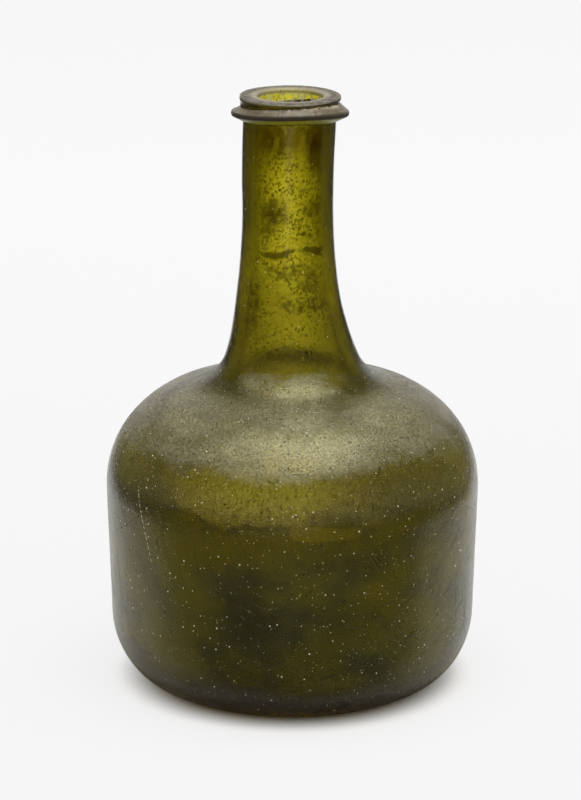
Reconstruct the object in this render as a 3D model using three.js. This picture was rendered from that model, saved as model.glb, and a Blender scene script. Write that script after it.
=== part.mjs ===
// Free-blown mallet wine bottle in dark green glass, with a wound string rim and a pontil scar.
// Millimetres, +Z up. The origin is the middle of the foot ring, on the plane the bottle stands on.
// Angles round the bottle are measured from the front (-Y) towards +X.

import * as THREE from "three";

// Heights, stacked from the foot ring up to the top of the lip
const HEEL_HEIGHT = 25.5;
const SIDE_HEIGHT = 46;
const SHOULDER_HEIGHT = 37.5;
const NECK_HEIGHT = 101;

// Body, outside
const FOOT_RING_DIAMETER = 89;
const FOOT_RING_WIDTH = 2.5;
const SIDE_FOOT_DIAMETER = 128.8;
const BODY_DIAMETER = 131.6;
const SHOULDER_DEPTH = 42;
const SHOULDER_END_SLOPE = 28;

// Neck root, where the shoulder sweeps up into the neck: its steepening point and slant from upright
const ROOT_DIAMETER = 47.4;
const ROOT_ABOVE_SHOULDER = 7.8;
const ROOT_SLANT = 22;

// Neck, outside. The waist is its slimmest place.
const NECK_DIAMETER = 31.6;
const WAIST_BELOW_LIP = 38;
const NECK_TOP_DIAMETER = 32.2;
const COLLAR_DIAMETER = 34.4;

// Pull of each curve's two ends, as shares of the straight line between them
const ROOT_PULLS = [0.23, 0.4];
const NECK_PULLS = [0.255, 0.35];

// Lip and mouth
const LIP_DIAMETER = 35.2;
const LIP_HEIGHT = 1.5;
const LIP_ROUNDING = 0.5;
const MOUTH_DIAMETER = 23;
const MOUTH_ROUNDING = 0.7;
const MOUTH_DEPTH = 9;

// The lip isn't a true circle: a wide wave and a finer ripple run round it
const LIP_WAVE = { height: 0.25, lobes: 2, turn: 34 };
const LIP_RIPPLE = { height: 0.125, lobes: 5, turn: 0 };

// The neck was bent a little while hot: it stands off the axis and comes part of the way back at the lip.
// The two shares of the neck's height say where the lean is complete and where the return starts.
const NECK_LEAN = 1.6;
const LEAN_COMPLETE = 0.35;
const LIP_RETURN = 0.8;
const RETURN_START = 0.7;

// Glass walls
const NECK_WALL = 3.9;
const ROOT_WALL = 4.2;
const SHOULDER_WALL = 4;
const SIDE_WALL = 4;
const BASE_WALL = 9;

// Kick, the push-up under the base: outside height, glass over its crown, and the reach of its curve ends
const KICK_HEIGHT = 36;
const KICK_WALL = 7;
const KICK_FOOT_PULL = 16;
const KICK_CROWN_PULL = 29;

// String rim, a trail wound once round the neck: its sharp edge, its two slopes and how it lies
const RIM_EDGE_BELOW_LIP = 6.1;
const RIM_REACH = 3.6;
const RIM_UPPER_SLOPE = 3;
const RIM_LOWER_SLOPE = 2.9;
const RIM_EDGE_FLAT = 0.7;
const RIM_TILT = 3;
const RIM_WAVE = { height: 0.2, lobes: 3, turn: 57 };
const RIM_LAP_ANGLE = 35;
const RIM_LAP_SPREAD = 22;
const RIM_LAP_HEIGHT = 0.4;

// Both slopes are hollow: the point between seat and edge, as shares of the way outwards and to the edge
const RIM_UPPER_HOLLOW = { out: 0.5, toEdge: 0.35 };
const RIM_LOWER_HOLLOW = { out: 0.45, toEdge: 0.3 };

// Pontil scar, the ring of glass the iron left round the crown of the kick
const SCAR_DIAMETER = 29;
const SCAR_BAND = 4;
const SCAR_THICKNESS = 1.3;

// Clearance between a fused-on piece and the vessel wall it sits on
const SEAT_CLEARANCE = 0.3;

// Facets round the bottle and along each curve of its profile
const SEGMENTS = 64;
const OUTSIDE_STEPS = { kick: 9, heel: 7, shoulder: 8, root: 5, neck: 7 };
const INSIDE_STEPS = { kick: 7, heel: 5, shoulder: 6, root: 4, neck: 5 };

const SHOULDER_BASE_Z = HEEL_HEIGHT + SIDE_HEIGHT;
const SHOULDER_TOP_Z = SHOULDER_BASE_Z + SHOULDER_HEIGHT;
const LIP_TOP_Z = SHOULDER_TOP_Z + NECK_HEIGHT;
const WAIST_Z = LIP_TOP_Z - WAIST_BELOW_LIP;
const RIM_EDGE_Z = LIP_TOP_Z - RIM_EDGE_BELOW_LIP;
const COLLAR_Z = RIM_EDGE_Z + RIM_UPPER_SLOPE;
const NECK_TOP_Z = RIM_EDGE_Z - RIM_LOWER_SLOPE;
const LIP_UNDER_Z = LIP_TOP_Z - LIP_HEIGHT;

const radians = THREE.MathUtils.degToRad;
const point = (r, z) => new THREE.Vector2(r, z);

// An arc of an upright ellipse from one angle to another, both measured from its top
function ellipseArc(centre, reach, from, to, steps) {
  const points = [];
  for (let i = 0; i <= steps; i++) {
    const angle = radians(from + ((to - from) * i) / steps);
    points.push(point(centre.x + reach.x * Math.sin(angle), centre.y + reach.y * Math.cos(angle)));
  }
  return points;
}

// A curve that leaves one point and reaches another along given directions
function sweep(start, startDirection, end, endDirection, pulls, steps) {
  const span = start.distanceTo(end);
  const first = start.clone().addScaledVector(startDirection, span * pulls[0]);
  const last = end.clone().addScaledVector(endDirection, -span * pulls[1]);
  return new THREE.CubicBezierCurve(start, first, last, end).getPoints(steps);
}

// Heel, side, shoulder and neck up to the waist, set inwards from the outside by the given walls
function bodyCurve(wall, steps) {
  const ringRadius = FOOT_RING_DIAMETER / 2;
  const heelReach = point(
    SIDE_FOOT_DIAMETER / 2 - wall.side - ringRadius,
    HEEL_HEIGHT - wall.base,
  );
  const heel = ellipseArc(point(ringRadius, HEEL_HEIGHT), heelReach, 180, 90, steps.heel);

  const shoulderCentre = point(BODY_DIAMETER / 2 - SHOULDER_DEPTH, SHOULDER_BASE_Z);
  const shoulderReach = point(SHOULDER_DEPTH - wall.side, SHOULDER_HEIGHT - wall.shoulder);
  const slope = radians(SHOULDER_END_SLOPE);
  const endAngle = Math.atan((Math.tan(slope) * shoulderReach.x) / shoulderReach.y);
  const shoulder = ellipseArc(
    shoulderCentre,
    shoulderReach,
    90,
    THREE.MathUtils.radToDeg(endAngle),
    steps.shoulder,
  );

  const slant = radians(ROOT_SLANT);
  const rootDirection = point(-Math.sin(slant), Math.cos(slant));
  const root = point(
    ROOT_DIAMETER / 2 - wall.root * Math.cos(slant),
    SHOULDER_TOP_Z + ROOT_ABOVE_SHOULDER - wall.root * Math.sin(slant),
  );
  const flare = sweep(
    shoulder.at(-1),
    point(-Math.cos(slope), Math.sin(slope)),
    root,
    rootDirection,
    ROOT_PULLS,
    steps.root,
  );

  const waist = point(NECK_DIAMETER / 2 - wall.neck, WAIST_Z);
  const neck = sweep(root, rootDirection, waist, point(0, 1), NECK_PULLS, steps.neck);
  return [...heel, ...shoulder, ...flare.slice(1), ...neck.slice(1)];
}

const OUTSIDE = { side: 0, base: 0, shoulder: 0, root: 0, neck: 0 };
const INSIDE = {
  side: SIDE_WALL,
  base: BASE_WALL,
  shoulder: SHOULDER_WALL,
  root: ROOT_WALL,
  neck: NECK_WALL,
};

// The kick's bell from its foot to its crown on the axis, as far above the outside as the glass is thick
function kickCurve(footRadius, footZ, crownZ, steps) {
  const foot = point(footRadius, footZ);
  const crown = point(0, crownZ);
  return new THREE.CubicBezierCurve(
    foot,
    point(footRadius - KICK_FOOT_PULL, footZ),
    point(KICK_CROWN_PULL, crownZ),
    crown,
  ).getPoints(steps);
}

const RING_INNER_RADIUS = FOOT_RING_DIAMETER / 2 - FOOT_RING_WIDTH;
const CROWN_INSIDE_Z = KICK_HEIGHT + KICK_WALL;
const kickOutside = kickCurve(RING_INNER_RADIUS, 0, KICK_HEIGHT, OUTSIDE_STEPS.kick).reverse();
const kickInside = kickCurve(RING_INNER_RADIUS, BASE_WALL, CROWN_INSIDE_Z, INSIDE_STEPS.kick);
const bodyOutside = bodyCurve(OUTSIDE, OUTSIDE_STEPS);
const bodyInside = bodyCurve(INSIDE, INSIDE_STEPS).reverse();

// Outside of the upper neck: nearly straight, then flared into the collar that carries the string rim
const upperNeck = [
  point(NECK_TOP_DIAMETER / 2, NECK_TOP_Z),
  point(COLLAR_DIAMETER / 2, COLLAR_Z),
  point(COLLAR_DIAMETER / 2, LIP_UNDER_Z),
];

// A flat-topped lip whose outer and inner edges were rounded in the fire
const lip = [
  point(LIP_DIAMETER / 2, LIP_UNDER_Z + LIP_ROUNDING),
  point(LIP_DIAMETER / 2, LIP_TOP_Z - LIP_ROUNDING),
  point(LIP_DIAMETER / 2 - LIP_ROUNDING, LIP_TOP_Z),
  point(MOUTH_DIAMETER / 2 + MOUTH_ROUNDING, LIP_TOP_Z),
  point(MOUTH_DIAMETER / 2, LIP_TOP_Z - MOUTH_ROUNDING),
  point(MOUTH_DIAMETER / 2, LIP_TOP_Z - MOUTH_DEPTH),
];

const vesselProfile = [
  ...kickOutside,
  ...bodyOutside,
  ...upperNeck,
  ...lip,
  ...bodyInside,
  ...kickInside,
];

// How far the neck stands off the axis at a height
function leanAt(z) {
  const up = (z - SHOULDER_TOP_Z) / NECK_HEIGHT;
  const out = NECK_LEAN * THREE.MathUtils.smoothstep(up, 0, LEAN_COMPLETE);
  const back = LIP_RETURN * THREE.MathUtils.smoothstep(up, RETURN_START, 1);
  return back - out;
}

// The height of a wave that runs round the bottle, at an angle
function waveAt(wave, angle) {
  return wave.height * Math.sin(wave.lobes * angle + radians(wave.turn));
}

// The unsteady circle that the shears and the fire left at the lip
function lipWaveAt(angle, z) {
  const share = THREE.MathUtils.smoothstep(z, COLLAR_Z, LIP_TOP_Z);
  return share * (waveAt(LIP_WAVE, angle) + waveAt(LIP_RIPPLE, angle));
}

// Height or radius read off a polyline: the value of one coordinate where the other has the given value
function readOff(points, from, to, value) {
  for (let i = 1; i < points.length; i++) {
    const a = points[i - 1];
    const b = points[i];
    const low = Math.min(a[from], b[from]);
    const high = Math.max(a[from], b[from]);
    if (value >= low && value <= high && high > low) {
      return THREE.MathUtils.mapLinear(value, a[from], b[from], a[to], b[to]);
    }
  }
  return points.at(-1)[to];
}

const neckOutside = [bodyOutside.at(-1), ...upperNeck];
const neckRadiusAt = (z) => readOff(neckOutside, "y", "x", z);
const kickHeightAt = (r) => readOff(kickOutside, "x", "y", r);

// A lathe turned to stand along +Z, starting at the front
function turned(profile) {
  return new THREE.LatheGeometry(profile, SEGMENTS).rotateX(Math.PI / 2);
}

// Moves every vertex by the bend of the neck and the unsteadiness of the lip
function bent(geometry) {
  const position = geometry.getAttribute("position");
  for (let i = 0; i < position.count; i++) {
    const x = position.getX(i);
    const y = position.getY(i);
    const z = position.getZ(i);
    const radius = Math.hypot(x, y);
    if (radius > 0) {
      const stretch = 1 + lipWaveAt(Math.atan2(x, -y), z) / radius;
      position.setXY(i, x * stretch, y * stretch);
    }
    position.setX(i, position.getX(i) + leanAt(z));
  }
  return geometry;
}

// A closed ring swept round the bottle, whose section is worked out afresh at every angle
function sweptRing(sectionAt) {
  const rings = [];
  for (let i = 0; i < SEGMENTS; i++) {
    const angle = (2 * Math.PI * i) / SEGMENTS;
    const place = ({ x: r, y: z }) => [r * Math.sin(angle), -r * Math.cos(angle), z];
    rings.push(sectionAt(angle).map(place));
  }
  const sides = rings[0].length;
  const index = [];
  for (let i = 0; i < SEGMENTS; i++) {
    const next = (i + 1) % SEGMENTS;
    for (let j = 0; j < sides; j++) {
      const k = (j + 1) % sides;
      const corners = [i * sides + j, next * sides + j, next * sides + k, i * sides + k];
      index.push(corners[0], corners[1], corners[2], corners[0], corners[2], corners[3]);
    }
  }
  const geometry = new THREE.BufferGeometry();
  geometry.setAttribute("position", new THREE.Float32BufferAttribute(rings.flat(2), 3));
  geometry.setIndex(index);
  geometry.computeVertexNormals();
  return geometry;
}

// The string rim's V section: it tips up at the front, waves a little and swells where its ends lap
function rimSection(angle) {
  const fromLap = Math.atan2(
    Math.sin(angle - radians(RIM_LAP_ANGLE)),
    Math.cos(angle - radians(RIM_LAP_ANGLE)),
  );
  const lap = RIM_LAP_HEIGHT * Math.exp(-((fromLap / radians(RIM_LAP_SPREAD)) ** 2));
  const wave = waveAt(RIM_WAVE, angle);
  const edgeRadius = neckRadiusAt(RIM_EDGE_Z) + RIM_REACH - wave;
  const tilt = edgeRadius * Math.tan(radians(RIM_TILT)) * Math.cos(angle);
  const edgeZ = RIM_EDGE_Z + tilt + wave;
  const topZ = edgeZ + RIM_UPPER_SLOPE + lap;
  const bottomZ = edgeZ - RIM_LOWER_SLOPE;
  const seat = (z) => neckRadiusAt(z) + SEAT_CLEARANCE;
  const hollow = (z, { out, toEdge }) =>
    point(
      THREE.MathUtils.lerp(seat(z), edgeRadius, out),
      THREE.MathUtils.lerp(z, edgeZ, toEdge),
    );
  return [
    point(seat(bottomZ), bottomZ),
    hollow(bottomZ, RIM_LOWER_HOLLOW),
    point(edgeRadius, edgeZ - RIM_EDGE_FLAT / 2),
    point(edgeRadius, edgeZ + RIM_EDGE_FLAT / 2),
    hollow(topZ, RIM_UPPER_HOLLOW),
    point(seat(topZ), topZ),
    point(seat(edgeZ), edgeZ),
  ];
}

// The scar's section, which follows the kick's underside at its clearance
function scarProfile() {
  const outer = SCAR_DIAMETER / 2;
  const inner = outer - SCAR_BAND;
  const underside = (r, depth) => point(r, kickHeightAt(r) - SEAT_CLEARANCE - depth);
  const middle = (outer + inner) / 2;
  return [
    underside(outer, 0),
    underside(middle, 0),
    underside(inner, 0),
    underside(inner, SCAR_THICKNESS / 2),
    underside(middle, SCAR_THICKNESS),
    underside(outer, SCAR_THICKNESS / 2),
    underside(outer, 0),
  ];
}

const darkGreenGlass = new THREE.MeshStandardMaterial({
  color: 0x4f5214,
  roughness: 0.28,
  metalness: 0,
});
const weatheredGlass = new THREE.MeshStandardMaterial({
  color: 0x6b6752,
  roughness: 0.5,
  metalness: 0,
});
const roughGlass = new THREE.MeshStandardMaterial({
  color: 0x4a4c22,
  roughness: 0.7,
  metalness: 0,
});

function named(name, geometry, material) {
  const mesh = new THREE.Mesh(geometry, material);
  mesh.name = name;
  return mesh;
}

const bottle = new THREE.Group();
bottle.add(named("vessel", bent(turned(vesselProfile)), darkGreenGlass));
bottle.add(named("string_rim", bent(sweptRing(rimSection)), weatheredGlass));
bottle.add(named("pontil_scar", turned(scarProfile()), roughGlass));

export default bottle;
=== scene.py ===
"""A free-blown mallet wine bottle in dark green glass, dressed over its solid frame."""

import math
import random
from functools import cached_property

import bpy
from bpy.props import FloatProperty, FloatVectorProperty, IntProperty, PointerProperty
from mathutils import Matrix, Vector, noise
from mathutils.bvhtree import BVHTree


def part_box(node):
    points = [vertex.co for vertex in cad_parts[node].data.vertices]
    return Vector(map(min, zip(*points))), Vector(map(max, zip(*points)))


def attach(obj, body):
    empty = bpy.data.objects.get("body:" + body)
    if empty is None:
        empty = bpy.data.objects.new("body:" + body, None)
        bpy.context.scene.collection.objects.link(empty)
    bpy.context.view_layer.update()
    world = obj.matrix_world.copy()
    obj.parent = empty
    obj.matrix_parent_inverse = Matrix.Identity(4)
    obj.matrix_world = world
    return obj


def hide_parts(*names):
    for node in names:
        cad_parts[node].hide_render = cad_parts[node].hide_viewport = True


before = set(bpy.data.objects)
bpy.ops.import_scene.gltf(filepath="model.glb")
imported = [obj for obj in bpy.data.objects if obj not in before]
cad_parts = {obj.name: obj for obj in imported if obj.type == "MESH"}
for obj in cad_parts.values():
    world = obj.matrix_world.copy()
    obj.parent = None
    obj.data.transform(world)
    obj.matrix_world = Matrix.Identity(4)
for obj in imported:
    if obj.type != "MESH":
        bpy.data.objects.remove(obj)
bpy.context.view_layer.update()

bl_info = {
    "name": "Mallet bottle",
    "version": (1, 0, 0),
    "blender": (4, 5, 0),
    "location": "3D View > Sidebar > Bottle",
    "description": "Turns a hollow glass bottle, winds its string rim and weathers its surface",
    "category": "Add Mesh",
}

VESSEL_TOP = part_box("vessel")[1][2]
MM = 0.001

RIM_EDGE_Z = VESSEL_TOP - 6.1 * MM
COLLAR_Z = RIM_EDGE_Z + 3 * MM
NECK_TOP_Z = RIM_EDGE_Z - 2.9 * MM
SHOULDER_END_SLOPE = math.radians(28)
ROOT_SLANT = math.radians(22)
LAP_AT = math.radians(35)
LAP_SPREAD = math.radians(22)
EDGE_BULGE = 0.22 * MM
LEAN_DONE = 0.35
RETURN_START = 0.7
GLASS_IOR = 1.52
WELD = 2e-6


def amount(label, about, value, **kind):
    """A number that a user can change."""
    return FloatProperty(name=label, description=about, default=value, **kind)


def length(label, about, millimetres):
    """A size in metres, given in millimetres."""
    return amount(label, about, millimetres * MM, unit="LENGTH", precision=4)


def share(label, about, value):
    """A share from none to all."""
    return amount(label, about, value, min=0, max=1, subtype="FACTOR")


def count(label, about, value, least=0):
    """A whole number."""
    return IntProperty(name=label, description=about, default=value, min=least)


def colour(label, about, value):
    """A surface colour, scene linear."""
    return FloatVectorProperty(
        name=label, description=about, default=value, min=0, max=1, size=3, subtype="COLOR"
    )


# What a user can change


class VesselSizes(bpy.types.PropertyGroup):
    """The blown vessel: its outside, its walls and the push-up of its base."""

    heel: length("Heel height", "From the table to the foot of the side", 25.5)
    side: length("Side height", "The nearly upright part of the body", 46)
    shoulder: length("Shoulder height", "From the side to the foot of the neck", 37.5)
    ring: length("Foot ring", "Outer diameter of the ring it stands on", 89)
    ring_width: length("Ring width", "Flat part of the foot ring", 2.5)
    side_foot: length("Side at the heel", "Diameter at the foot of the side", 128.8)
    body: length("Body", "Largest diameter, at the top of the side", 131.6)
    shoulder_depth: length("Shoulder depth", "How far in the shoulder's curve reaches", 42)
    root: length("Neck root", "Diameter where the neck is steepening", 47.4)
    root_rise: length("Root rise", "Height of that place over the shoulder", 7.8)
    neck: length("Neck", "Diameter at the slimmest place", 31.6)
    waist_drop: length("Waist", "Slimmest place below the lip", 38)
    neck_top: length("Neck top", "Diameter just under the string rim", 32.2)
    collar: length("Collar", "Diameter between the string rim and the lip", 34.4)
    lip: length("Lip", "Outer diameter of the lip", 35.2)
    lip_height: length("Lip height", "Thickness of the lip's flat band", 1.5)
    mouth: length("Mouth", "Inner diameter of the lip", 23)
    mouth_depth: length("Mouth depth", "Straight part of the mouth", 9)
    lean: length("Lean", "How far the neck stands off the axis", 1.6)
    lip_return: length("Lip return", "How far the lip comes back towards the axis", 0.8)
    neck_wall: length("Neck wall", "Thickness of the neck", 3.9)
    root_wall: length("Root wall", "Thickness at the neck's root", 4.2)
    shoulder_wall: length("Shoulder wall", "Thickness of the shoulder", 4)
    side_wall: length("Side wall", "Thickness of the side", 4)
    base_wall: length("Base wall", "Thickness over the foot ring", 9)
    kick: length("Kick", "Height of the push-up under the base", 36)
    kick_wall: length("Kick wall", "Glass over the crown of the kick", 7)
    step: length("Profile step", "Longest step along the profile", 2.3)
    segments: count("Segments", "Faces round the bottle", 256, least=32)
    outer_waves: length("Outer unevenness", "How far the outside strays from a true form", 0.12)
    inner_waves: length("Inner unevenness", "How far the inside strays from a true form", 0.55)
    seed: count("Seed", "Another bottle of the same form", 7)


class GlassLook(bpy.types.PropertyGroup):
    """The glass itself, the film that years in the ground left on it, and the painted shade and
    highlight on it.
    """

    absorbed: colour("Through colour", "White light after deep glass", (0.889, 0.856, 0.05))
    density: amount("Density", "How strongly the glass colours light, per metre", 600)
    clear: colour("Clear surface", "Tint of a clean surface", (0.98, 0.98, 0.93))
    # Darkens the inside, most of all low in the body; the neck's stains and crumbs use it too.
    inner_dark: colour("Residue", "Dark layer that dried inside", (0.10, 0.085, 0.035))
    pit: colour("Pits", "Dark pits in the surface", (0.05, 0.045, 0.02))
    # Painted shade on the neck's edges, where they are seen edge-on.
    edge: colour("Edge", "Tint where the weathered skin is seen edge-on", (0.07, 0.07, 0.02))
    skin: colour("Skin", "Olive skin of the weathered body", (0.40, 0.35, 0.045))
    skin_dark: colour("Dark skin", "Bluish dark parts of the skin", (0.21, 0.205, 0.085))
    skin_share: share("Skin share", "How much of the light the skin scatters", 0.17)
    lip: colour("Lip", "Grey-brown skin of the lip", (0.24, 0.20, 0.14))
    # Painted shade in the groove under the lip, on the front.
    collar: colour("Collar", "Dark stain under the lip", (0.045, 0.035, 0.012))
    dust: colour("Dust", "Whitish dust in the mouth", (0.85, 0.82, 0.55))
    lip_shade: colour("Lip shade", "Dark parts of the lip", (0.065, 0.05, 0.032))
    lip_worn: colour("Lip worn", "Pale worn glass round the mouth", (0.42, 0.36, 0.24))
    film: colour("Film", "Grey-beige film of weathered glass", (0.63, 0.58, 0.36))
    # Warm tint of the painted highlight on the front of the shoulder.
    golden_highlight: colour("Golden film", "Where the film lies thin over clear glass", (0.64, 0.55, 0.24))
    stain: colour("Stain", "Brown stain in the neck", (0.09, 0.036, 0.006))
    film_share: share("Film share", "How much of the light the film scatters", 0.52)
    seeds: count("Seeds", "Specks per square metre of wall", 80000)
    seed_size: length("Seed size", "Radius of the larger specks", 0.33)
    scratches: count("Scratches", "Scratches per square metre", 6500)
    scratch_width: length("Scratch width", "Half the width of a scratch", 0.035)


class RimSizes(bpy.types.PropertyGroup):
    """The trail of glass wound round the neck for the cork's string."""

    drop: length("Edge below lip", "From the lip's top to the sharp edge", 6.1)
    reach: length("Reach", "How far the edge stands out", 3.5)
    upper: length("Upper slope", "Height of the upper slope", 3)
    lower: length("Lower slope", "Height of the lower slope", 2.9)
    flat: length("Edge", "Width of the worn edge", 1.5)
    wave: length("Wave", "How much the trail waves up and down", 0.2)
    uneven: length("Uneven", "How much taller the trail is on one side", 0.75)
    lap: length("Lap", "Swelling where its ends lap", 0.4)
    chips: length("Chips", "Depth of the chips along the edge", 0.14)
    bedded: length("Bedded", "How deep its back is fused into the neck", 0.25)
    tilt: amount("Tilt", "Rise at the front", math.radians(4.5), subtype="ANGLE")
    skin: colour("Skin", "Grey-brown weathered skin", (0.27, 0.22, 0.15))
    shade: colour("Shade", "Darker parts of the skin", (0.15, 0.12, 0.08))
    # The worn edge, darkened further by painted shade.
    edge: colour("Dark edge", "The worn edge", (0.045, 0.038, 0.025))
    clean: colour("Clean glass", "Clear underside", (0.85, 0.79, 0.06))
    worn: colour("Worn places", "Pale places where the skin is chipped", (0.82, 0.70, 0.48))


class ScarSizes(bpy.types.PropertyGroup):
    """The ring of broken glass that the iron left under the kick."""

    width: length("Scar", "Outer diameter of the scar", 29)
    band: length("Band", "Width of its ring", 4)
    thickness: length("Thickness", "How far it stands off the kick", 1.3)
    broken: colour("Broken glass", "Rough green glass", (0.20, 0.21, 0.07))


class StageLook(bpy.types.PropertyGroup):
    """Floor, light and camera."""

    floor: colour("Floor", "White paper", (0.93, 0.93, 0.94))
    room: share("Room", "Plain light from all round", 0.36)
    front: share("Front", "How bright the room is behind the camera", 0.045)
    sides: share("Sides", "How bright the glass mirrors the room beside it", 0.12)
    ceiling: share("Ceiling", "How bright the glass mirrors the room overhead", 0.2)
    # Painted light: the paper near the foot is tinted as if lit through the glass.
    painted_glass_light: colour("By the glass", "Paper lit through the glass", (0.80, 0.71, 0.50))
    glow: share("Glow", "Share of the paper that shows no shadow", 0.9)
    softbox: amount("Softbox", "Power of the overhead light", 12.5, unit="POWER")
    softbox_size: length("Softbox size", "Side of the overhead light", 850)
    camera_back: length("Camera distance", "Along the floor from the bottle's axis", 1170)
    camera_up: length("Camera height", "Above the floor", 441.5)
    camera_right: length("Camera to the right", "Off the bottle's axis", -0.65)
    camera_down: amount("Camera pitch", "Below the horizon", 0.283332, subtype="ANGLE")
    lens: amount("Lens", "Focal length in millimetres", 155.653)


GROUPS = {
    "bottle_vessel": VesselSizes,
    "bottle_glass": GlassLook,
    "bottle_rim": RimSizes,
    "bottle_scar": ScarSizes,
    "bottle_stage": StageLook,
}

# Node trees


class Wires:
    """The nodes of one tree, wired up as they are made."""

    def __init__(self, tree):
        self.tree = tree

    def fill(self, socket, value):
        """Wires a socket or gives it a plain value."""
        if isinstance(value, bpy.types.NodeSocket):
            self.tree.links.new(value, socket)
        else:
            socket.default_value = value

    def put(self, kind, inputs=None, **settings):
        """Adds a node, sets it up, and fills its inputs by name or number."""
        node = self.tree.nodes.new(kind)
        for name, value in settings.items():
            setattr(node, name, value)
        for key, value in (inputs or {}).items():
            self.fill(node.inputs[key], value)
        return node

    def get(self, kind, inputs=None, output=0, **settings):
        """Adds a node and gives one of its outputs."""
        return self.put(kind, inputs, **settings).outputs[output]

    def calc(self, operation, *values):
        """One step of arithmetic."""
        return self.get("ShaderNodeMath", dict(enumerate(values)), operation=operation)

    def plus(self, a, b):
        return self.calc("ADD", a, b)

    def minus(self, a, b):
        return self.calc("SUBTRACT", a, b)

    def times(self, total, *values):
        """Several shares multiplied."""
        for value in values:
            total = self.calc("MULTIPLY", total, value)
        return total

    def most(self, largest, *values):
        """The largest of several shares."""
        for value in values:
            largest = self.calc("MAXIMUM", largest, value)
        return largest

    def line(self, value, slope, start):
        """A straight line: the value times its slope, from a start."""
        return self.calc("MULTIPLY_ADD", value, slope, start)

    def ease(self, value, start, end, low=0, high=1):
        """A smooth rise from low to high while the value goes from start to end."""
        inputs = {0: value, 1: start, 2: end, 3: low, 4: high}
        return self.get("ShaderNodeMapRange", inputs, interpolation_type="SMOOTHSTEP")

    def vector(self, operation, *values):
        """One step of arithmetic on vectors."""
        inputs, output = dict(enumerate(values)), "Value" if operation == "LENGTH" else 0
        return self.get("ShaderNodeVectorMath", inputs, output, operation=operation)

    def split(self, vector):
        """The three parts of a vector."""
        return self.put("ShaderNodeSeparateXYZ", {0: vector}).outputs

    def join(self, x=0, y=0, z=0):
        """A vector of three parts."""
        return self.get("ShaderNodeCombineXYZ", {0: x, 1: y, 2: z})

    def noise(self, vector, scale, detail=2, roughness=0.5):
        """A cloudy pattern."""
        inputs = {"Vector": vector, "Scale": scale, "Detail": detail, "Roughness": roughness}
        return self.get("ShaderNodeTexNoise", inputs)


class GeometryWires(Wires):
    """A geometry tree with named inputs; sizes gives each one's kind."""

    def __init__(self, name, sizes):
        super().__init__(bpy.data.node_groups.new(name, "GeometryNodeTree"))
        new_socket = self.tree.interface.new_socket
        new_socket("Geometry", in_out="INPUT", socket_type="NodeSocketGeometry")
        for label, kind in sizes.items():
            new_socket(label, in_out="INPUT", socket_type="NodeSocket" + kind)
        new_socket("Geometry", in_out="OUTPUT", socket_type="NodeSocketGeometry")
        self.given = self.put("NodeGroupInput").outputs

    def here(self):
        """Where each point is."""
        return self.get("GeometryNodeInputPosition")

    def normal(self):
        """Which way each point faces."""
        return self.get("GeometryNodeInputNormal")

    def carried(self, label):
        """A value that each point carries."""
        inputs = {"Name": label}
        return self.get("GeometryNodeInputNamedAttribute", inputs, data_type="FLOAT")

    def dice(self, low, high, seed):
        """A number thrown for each point."""
        inputs = {2: low, 3: high, 8: seed}
        return self.get("FunctionNodeRandomValue", inputs, data_type="FLOAT", output=1)

    def moved(self, shape, **by):
        """A shape whose points have moved."""
        return self.get("GeometryNodeSetPosition", {"Geometry": shape, **by})

    def scattered(self, density, piece, scale, turned=None):
        """Real copies of a piece, thrown over the outside."""
        outside = self.calc("LESS_THAN", self.carried("inside"), 0.5)
        density = self.times(density, outside, self.given["Density"])
        inputs = {"Mesh": self.given["Geometry"], "Density": density, "Seed": self.given["Seed"]}
        points = self.put("GeometryNodeDistributePointsOnFaces", inputs).outputs
        rotation = points["Rotation"]
        if turned:
            kind, inputs = "FunctionNodeRotateRotation", {0: rotation, 1: turned}
            rotation = self.get(kind, inputs, rotation_space="LOCAL")
        inputs = {"Points": points["Points"], "Instance": piece, "Rotation": rotation}
        placed = self.get("GeometryNodeInstanceOnPoints", {**inputs, "Scale": scale})
        return self.get("GeometryNodeRealizeInstances", {0: placed})

    def dressed(self, shape, finish):
        """Ends the tree with the shape in its finish."""
        inputs = {"Geometry": shape, "Material": self.given[finish]}
        self.put("NodeGroupOutput", {0: self.get("GeometryNodeSetMaterial", inputs)})
        return self.tree


def made_by(tree, source, values, name):
    """Runs a tree on an object and gives the result as a plain mesh object."""
    step = source.modifiers.new(tree.name, "NODES")
    step.node_group = tree
    for item in tree.interface.items_tree:
        if item.item_type == "SOCKET" and item.in_out == "INPUT" and item.name in values:
            step[item.identifier] = values[item.name]
    bpy.context.view_layer.update()
    evaluated = source.evaluated_get(bpy.context.evaluated_depsgraph_get())
    mesh = bpy.data.meshes.new_from_object(evaluated)
    source.modifiers.remove(step)
    if not mesh.polygons:
        raise RuntimeError(f"{name} came out empty")
    mesh.name = name
    made = bpy.data.objects.new(name, mesh)
    bpy.context.scene.collection.objects.link(made)
    return made


def mesh_object(name, points, edges=(), faces=()):
    """An object from plain lists."""
    mesh = bpy.data.meshes.new(name)
    mesh.from_pydata([tuple(p) for p in points], edges, faces)
    made = bpy.data.objects.new(name, mesh)
    bpy.context.scene.collection.objects.link(made)
    return made


def signed_volume(mesh):
    """Positive where the faces point outwards."""
    mesh.calc_loop_triangles()
    corner = [v.co for v in mesh.vertices]
    total = 0.0
    for t in mesh.loop_triangles:
        a, b, c = (corner[i] for i in t.vertices)
        total += a.dot(b.cross(c))
    return total / 6


def turned_out(made):
    """The same object with its faces pointing outwards."""
    if signed_volume(made.data) < 0:
        made.data.flip_normals()
    return made


def carry(made, label, values):
    """Gives every point of an object a value."""
    made.data.attributes.new(label, "FLOAT", "POINT").data.foreach_set("value", values)


# The profile of the vessel


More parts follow.
